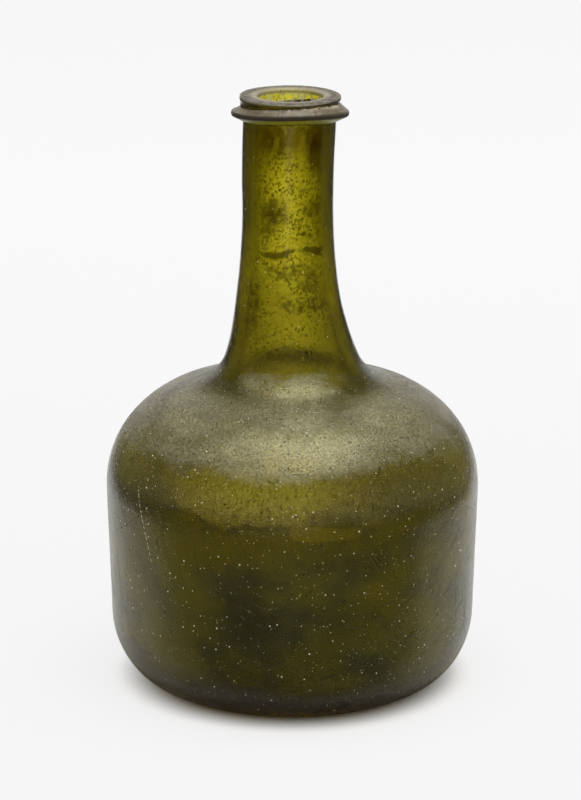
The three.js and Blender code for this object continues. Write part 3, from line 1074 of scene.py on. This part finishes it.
def rim_section(v, rim, angle):
    """The trail's section at an angle: a V with hollow slopes, a worn edge and chips."""
    past_lap = angle - LAP_AT
    from_lap = math.atan2(math.sin(past_lap), math.cos(past_lap))
    lap = rim.lap * math.exp(-((from_lap / LAP_SPREAD) ** 2))
    wave = rim.wave * math.sin(3 * angle + math.radians(57))
    around = Vector((math.sin(angle), -math.cos(angle), 0))
    rough = noise.noise(around * 14) + 0.5 * noise.noise(around * 33 + Vector((5, 0, 0)))
    bite = rim.chips * max(0, noise.noise(around * 21 + Vector((0, 9, 0))) - 0.12) * 2.2
    edge_r = waist_to_collar(v, VESSEL_TOP - rim.drop) + rim.reach - wave - bite + rough * 0.08 * MM
    edge_z = VESSEL_TOP - rim.drop + edge_r * math.tan(rim.tilt) * math.cos(angle) + wave
    top_z = edge_z + rim.upper + rim.uneven * math.sin(angle) + lap + rough * 0.15 * MM
    low_z = edge_z - rim.lower + rough * 0.10 * MM

    def seat(z):
        return Vector((waist_to_collar(v, z) - rim.bedded, z))

    def hollow(z, outwards, up, rise):
        a, c = seat(z), Vector((edge_r, edge_z + rise))
        b = Vector((a.x * (1 - outwards) + edge_r * outwards, z + (edge_z - z) * up))
        steps = [i / 7 for i in range(8)]
        return [a * (1 - t) ** 2 + b * 2 * t * (1 - t) + c * t * t for t in steps]

    line = hollow(low_z, 0.45, 0.3, -rim.flat / 2)
    line.append(Vector((edge_r + EDGE_BULGE, edge_z)))
    line += hollow(top_z, 0.5, 0.45, rim.flat / 2)[::-1]
    line.append(seat(edge_z))
    east, north = math.sin(angle), math.cos(angle)
    return [(p.x * east + lean_at(v, p.y), -p.x * north, p.y) for p in line]


def scar_section(v, scar, angle):
    """The scar's section, which follows the kick and is broken unevenly."""
    kick = sorted((p.x, p.y) for p in kick_curve(v, 0, v.kick))
    around = Vector((math.sin(angle), math.cos(angle), 0))
    ragged = noise.noise(around * 9) * 1.1 * MM
    deep = scar.thickness * (0.75 + 0.6 * noise.noise(around * 17 + Vector((3, 0, 0))))
    outer, inner = scar.width / 2 + ragged, scar.width / 2 - scar.band + ragged * 0.6
    steps = [i / 5 for i in range(6)]
    back = [(outer + (inner - outer) * t, -0.25 * MM) for t in steps]
    heave = [deep * math.sin(math.pi * (0.12 + 0.76 * t)) for t in steps]
    front = [(inner + (outer - inner) * t, down) for t, down in zip(steps, heave)]
    east, north = math.sin(angle), math.cos(angle)
    return [(r * east, -r * north, read_off(kick, r) - down) for r, down in back + front]


# Seeds and scratches


def seeding_tree():
    """Small open blisters over the outside of the body, thick low down and thin on the neck."""
    sizes = dict.fromkeys(("Density", "Size", "Shoulder"), "Float")
    w = GeometryWires("Seeds", {**sizes, "Seed": "Int", "Finish": "Material"})
    shoulder, z = w.given["Shoulder"], w.split(w.here())[2]
    low = w.ease(z, w.times(shoulder, 1.12), w.times(shoulder, 0.95), 0.06)
    upper_body = w.ease(z, w.times(shoulder, 0.76), w.times(shoulder, 0.84), 1, 1.7)
    over_ring = w.calc("GREATER_THAN", w.split(w.normal())[2], -0.8)
    rare = w.calc("POWER", w.dice(0, 1, w.given["Seed"]), 5)
    scale = w.times(w.given["Size"], w.line(rare, 0.68, 0.32))
    dome = w.get("GeometryNodeMeshIcoSphere", {"Radius": 1, "Subdivisions": 1})
    flat = w.get("GeometryNodeTransform", {"Geometry": dome, "Scale": (1, 1, 0.35)})
    seeds = w.scattered(w.times(low, upper_body, over_ring), flat, scale)
    return w.dressed(w.get("GeometryNodeSetShadeSmooth", {0: seeds}), "Finish")


def scratching_tree():
    """Fine curved scratches that lie on the outside of the body."""
    sizes = dict.fromkeys(("Density", "Half width", "Top"), "Float")
    w = GeometryWires("Scratches", {**sizes, "Seed": "Int", "Finish": "Material"})
    given, z = w.given, w.split(w.here())[2]
    band = w.times(w.calc("LESS_THAN", z, given["Top"]), w.calc("GREATER_THAN", z, 14 * MM))
    inputs = {"Resolution": 9, "Radius": 1, "Start Angle": 0, "Sweep Angle": math.radians(15)}
    arc = w.get("GeometryNodeCurveArc", inputs, mode="RADIUS")
    centred = w.get("GeometryNodeTransform", {"Geometry": arc, "Translation": (-1, 0, 0)})
    spin = w.dice(-0.5, 0.5, w.plus(given["Seed"], 3))
    turned = w.join(z=w.plus(w.times(spin, 1.3), 0.5))
    long = w.dice(15 * MM, 90 * MM, given["Seed"])
    strokes = w.scattered(band, centred, long, turned)
    inputs = {0: given["Geometry"], "Source Position": w.here()}
    near = w.get("GeometryNodeProximity", inputs, "Position", target_element="FACES")
    inputs = {"Resolution": 3, "Radius": given["Half width"]}
    thread = w.get("GeometryNodeCurvePrimitiveCircle", inputs, mode="RADIUS")
    inputs = {"Curve": w.moved(strokes, Position=near), "Profile Curve": thread}
    return w.dressed(w.get("GeometryNodeCurveToMesh", inputs), "Finish")


# Operators


def finished(obj, material_slot, *nodes):
    """Hands a finished piece to the frame."""
    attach(obj, "root")
    if nodes:
        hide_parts(*nodes)


class BOTTLE_OT_vessel(bpy.types.Operator):
    """Blow the vessel: turn its profile, bend its neck and fill it with glass"""

    bl_idname = "bottle.blow_vessel"
    bl_label = "Blow the vessel"

    def execute(self, context):
        v, look = context.scene.bottle_vessel, context.scene.bottle_glass
        profile = profile_object(vessel_profile(v))
        values = {
            "Segments": v.segments,
            "Lean": v.lean,
            "Lip return": v.lip_return,
            "Neck foot": v.heel + v.side + v.shoulder,
            "Lip height": VESSEL_TOP,
            "Lip wave": 0.25 * MM,
            "Seed": v.seed,
            "Glass": vessel_glass(look),
        }
        made = turned_out(made_by(turning_tree(), profile, values, "Vessel_glass"))
        bpy.data.objects.remove(profile)
        finished(made, "dark_green_glass", "vessel")
        return {"FINISHED"}


class BOTTLE_OT_rim(bpy.types.Operator):
    """Wind the string rim round the neck"""

    bl_idname = "bottle.wind_string_rim"
    bl_label = "Wind the string rim"

    def execute(self, context):
        scene, turns = context.scene, 420
        v, rim, look = scene.bottle_vessel, scene.bottle_rim, scene.bottle_glass
        sections = [rim_section(v, rim, 2 * math.pi * i / turns) for i in range(turns)]
        upper = [0.0] * 6 + [0.1, 0.4, 0.55, 0.6, 0.7, 0.9] + [1.0] * 5 + [0.5]
        brink = [0.0] * 14 + [0.5, 1.0, 1.0, 0.0]
        made = swept_ring("Rim_glass", sections, {"upper": upper, "brink": brink})
        made.data.materials.append(rim_glass(look, rim))
        finished(made, "weathered_rim_glass", "string_rim")
        return {"FINISHED"}


class BOTTLE_OT_scar(bpy.types.Operator):
    """Break the pontil iron off under the kick"""

    bl_idname = "bottle.break_off_pontil"
    bl_label = "Break off the pontil"

    def execute(self, context):
        scene, turns = context.scene, 180
        v, scar, look = scene.bottle_vessel, scene.bottle_scar, scene.bottle_glass
        sections = [scar_section(v, scar, 2 * math.pi * i / turns) for i in range(turns)]
        made = swept_ring("Scar_glass", sections)
        made.data.materials.append(scar_glass(look, scar))
        finished(made, "rough_scar_glass", "pontil_scar")
        return {"FINISHED"}


class BOTTLE_OT_seeds(bpy.types.Operator):
    """Scatter seeds and open blisters over the body"""

    bl_idname = "bottle.scatter_seeds"
    bl_label = "Scatter the seeds"

    def execute(self, context):
        v, look = context.scene.bottle_vessel, context.scene.bottle_glass
        values = {
            "Density": float(look.seeds),
            "Size": look.seed_size,
            "Shoulder": v.heel + v.side + v.shoulder,
            "Seed": v.seed + 4,
            "Finish": seed_surface(),
        }
        made = made_by(seeding_tree(), bpy.data.objects["Vessel_glass"], values, "Seeds")
        finished(made, "dark_green_glass")
        return {"FINISHED"}


class BOTTLE_OT_scratches(bpy.types.Operator):
    """Scratch the body as a shelf and two centuries do"""

    bl_idname = "bottle.scratch_body"
    bl_label = "Scratch the body"

    def execute(self, context):
        v, look = context.scene.bottle_vessel, context.scene.bottle_glass
        values = {
            "Density": float(look.scratches),
            "Half width": look.scratch_width,
            "Top": v.heel + v.side + v.shoulder * 0.8,
            "Seed": v.seed + 30,
            "Finish": scratch_surface(),
        }
        made = made_by(scratching_tree(), bpy.data.objects["Vessel_glass"], values, "Scratches")
        finished(made, "dark_green_glass")
        glass, half_width = bpy.data.objects["Vessel_glass"].data, look.scratch_width * 1.9
        for name, lines, longest, seed, finish, shade in (
            ("Pale_scratch", PALE_SCRATCHES, 0.07, 3, "Pale scratch", (0.75, 0.73, 0.62)),
            ("Dark_scratches", DARK_SCRATCHES, 0.2, 5, "Filled scratch", (0.02, 0.02, 0.012)),
        ):
            made = long_scratches(name, lines, glass, half_width, longest, seed)
            made.data.materials.append(plain_surface(finish, shade))
            finished(made, "dark_green_glass")
        return {"FINISHED"}


class BOTTLE_OT_stage(bpy.types.Operator):
    """Lay the paper, light the room and set the camera"""

    bl_idname = "bottle.set_stage"
    bl_label = "Set the stage"

    def execute(self, context):
        look = context.scene.bottle_stage
        reach = 2.2
        corners = [(-reach, -reach, 0), (reach, -reach, 0), (reach, reach, 0), (-reach, reach, 0)]
        floor = mesh_object("Paper", corners, (), [(0, 1, 2, 3)])
        floor.data.materials.append(white_paper(look))
        softbox = bpy.data.objects.new("Softbox", bpy.data.lights.new("Softbox", "AREA"))
        softbox.data.energy = look.softbox
        softbox.data.size = look.softbox_size
        softbox.location = (0.14, -0.12, 1.25)
        camera = bpy.data.objects.new("Camera", bpy.data.cameras.new("Camera"))
        camera.data.lens = look.lens
        camera.location = (look.camera_right, -look.camera_back, look.camera_up)
        camera.rotation_euler = (math.pi / 2 - look.camera_down, 0, 0)
        for made in (softbox, camera):
            context.scene.collection.objects.link(made)
        context.scene.camera = camera
        context.scene.world = studio_room(look)
        context.scene.view_settings.view_transform = "Standard"
        return {"FINISHED"}


def studio_room(look):
    """A white room that is dimmer overhead and behind the camera in what the glass mirrors."""
    room = bpy.data.worlds.new("Studio")
    room.use_nodes = True
    w = Wires(room.node_tree)
    w.tree.nodes.clear()
    ray = w.put("ShaderNodeLightPath").outputs
    _, away, up = w.split(w.get("ShaderNodeTexCoord", output="Generated"))
    mirrored = w.times(
        w.ease(up, 0.5, 0.2, look.ceiling),
        w.ease(away, 0.78, 0.95, look.sides),
        w.ease(away, -0.75, 0, look.front / look.sides),
    )
    plain = w.line(ray["Is Glossy Ray"], w.minus(mirrored, look.room), look.room)
    seen = w.most(ray["Is Camera Ray"], ray["Is Transmission Ray"])
    strength = w.line(seen, w.minus(1, plain), plain)
    light = w.get("ShaderNodeBackground", {"Color": (1, 1, 1, 1), "Strength": strength})
    w.put("ShaderNodeOutputWorld", {"Surface": light})
    return room


def white_paper(look):
    """Paper that is white to the eye and keeps the bottle's shadow round its foot, with light
    through the glass painted on it there.
    """
    w = SurfaceWires("White paper")
    ray = w.put("ShaderNodeLightPath").outputs
    through = ray["Is Transmission Ray"]
    away = w.vector("LENGTH", w.place)
    x, y, _ = w.axes
    aside = w.calc("ABSOLUTE", x)
    in_front = w.ease(y, -0.085, -0.03, look.front)
    roll = w.ease(aside, 0.32, 0.2, look.sides)
    card = w.times(w.ease(aside, 0.15, 0.08), w.ease(y, -0.36, -0.44))
    mirrored = w.most(w.times(in_front, roll), card)
    only_mirrored = w.times(ray["Is Glossy Ray"], w.minus(1, through))
    in_gloss = w.line(only_mirrored, w.minus(mirrored, 1), 1)
    # Near the foot the paper's colour is tinted warm: painted light for light through the glass.
    paper_with_painted_glass_light = w.blend(w.ease(away, 0.05, 0.085), look.painted_glass_light, look.floor)
    seen = w.most(ray["Is Camera Ray"], w.times(through, w.ease(away, 0.12, 0.5), 0.85))
    glow = w.times(w.ease(away, 0.047, 0.066, 0, look.glow), seen)
    inputs = {"Color": (0.995, 0.995, 1, 1), "Strength": w.ease(y, -0.1, 0.9, 0.925, 0.99)}
    white = w.get("ShaderNodeEmission", inputs)
    inputs = {0: glow, 1: w.surface.outputs[0], 2: white}
    w.fill(w.output.inputs["Surface"], w.get("ShaderNodeMixShader", inputs))
    shade = w.blend(in_gloss, (0, 0, 0), paper_with_painted_glass_light)
    return w.dress({"Base Color": shade, "Roughness": 0.9, "Specular IOR Level": 0})


class BOTTLE_PT_panel(bpy.types.Panel):
    """The bottle's steps and sizes"""

    bl_label = "Mallet bottle"
    bl_space_type = "VIEW_3D"
    bl_region_type = "UI"
    bl_category = "Bottle"

    def draw(self, context):
        for step in STEPS:
            self.layout.operator(step.bl_idname)
        for name, group in GROUPS.items():
            box = self.layout.box()
            box.label(text=group.__doc__)
            for label in group.__annotations__:
                box.prop(getattr(context.scene, name), label)


STEPS = (
    BOTTLE_OT_vessel,
    BOTTLE_OT_rim,
    BOTTLE_OT_scar,
    BOTTLE_OT_seeds,
    BOTTLE_OT_scratches,
    BOTTLE_OT_stage,
)


def register():
    for made in (*GROUPS.values(), *STEPS, BOTTLE_PT_panel):
        bpy.utils.register_class(made)
    for name, group in GROUPS.items():
        setattr(bpy.types.Scene, name, PointerProperty(type=group))


def unregister():
    for name in GROUPS:
        delattr(bpy.types.Scene, name)
    for made in (BOTTLE_PT_panel, *STEPS[::-1], *reversed(GROUPS.values())):
        bpy.utils.unregister_class(made)


def main():
    register()
    for step in STEPS:
        getattr(bpy.ops.bottle, step.bl_idname.split(".")[1])()


if __name__ == "__main__":
    main()
